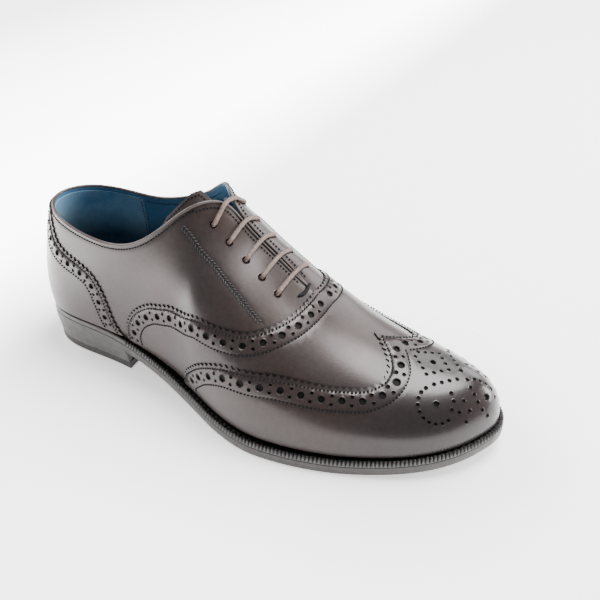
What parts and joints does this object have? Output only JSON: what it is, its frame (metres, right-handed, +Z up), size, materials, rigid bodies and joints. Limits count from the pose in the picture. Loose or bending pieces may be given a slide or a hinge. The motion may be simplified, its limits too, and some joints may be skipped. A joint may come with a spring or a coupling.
{
  "type": "oxford shoe",
  "caption": "Right lace-up leather dress shoe with overlaid wing cap, vamp and heel counter, closed lacing, welted leather sole and stacked heel.",
  "frame": {"origin": "on the floor under the middle of the heel", "axes": "+X towards the toe, -Y the outer (lateral) side of the foot, +Z up"},
  "size_m": [0.2874, 0.109, 0.1174],
  "materials": {
    "upper_leather": "smooth polished taupe-brown calf leather, semi-gloss",
    "sole_edge": "stained and burnished leather edge, satin",
    "top_lift": "matt dark rubber",
    "lining_leather": "smooth blue lining leather, satin",
    "lace_cord": "round waxed taupe cord"
  },
  "bodies": {
    "root": {"outsole": "sole_edge", "welt": "sole_edge", "heel_rand": "sole_edge", "heel_stack": "sole_edge", "heel_top_lift": "top_lift", "insole": "lining_leather", "upper": "upper_leather", "vamp": "upper_leather", "wing_cap": "upper_leather", "heel_counter": "upper_leather", "tongue": "upper_leather", "lace": "lace_cord"}
  },
  "joints": []
}
